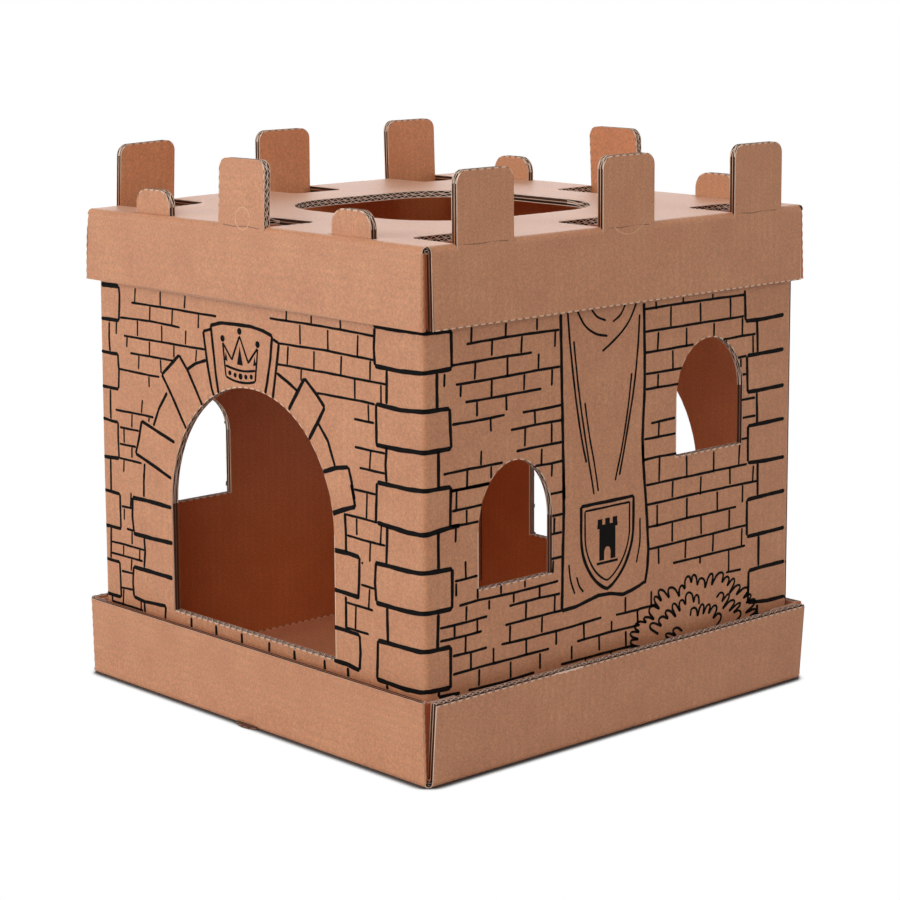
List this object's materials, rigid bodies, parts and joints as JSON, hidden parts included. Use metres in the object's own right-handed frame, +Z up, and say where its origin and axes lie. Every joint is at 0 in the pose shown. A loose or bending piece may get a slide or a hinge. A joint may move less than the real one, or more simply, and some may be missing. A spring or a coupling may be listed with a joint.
{
  "type": "cardboard toy castle",
  "caption": "Toy castle of folded kraft corrugated board: shallow tray base, square wall sleeve with arched door and windows, and a lift-off lid with fold-up merlons and a roof hatch.",
  "frame": {"origin": "Middle of the base tray's underside, on the surface that the castle stands on.", "axes": "+Z up. The doorway faces -Y. The wall with the banner faces +X."},
  "size_m": [0.4654, 0.4578, 0.4818],
  "materials": {
    "base_board": "kraft double-wall corrugated board, unbleached liner, matt",
    "printed_board": "kraft double-wall corrugated board printed with black masonry lines, matt",
    "lid_board": "kraft double-wall corrugated board, unbleached liner, matt"
  },
  "bodies": {
    "root": {"base_tray": "base_board", "wall_sleeve": "printed_board", "roof_lid": "lid_board"}
  },
  "joints": []
}
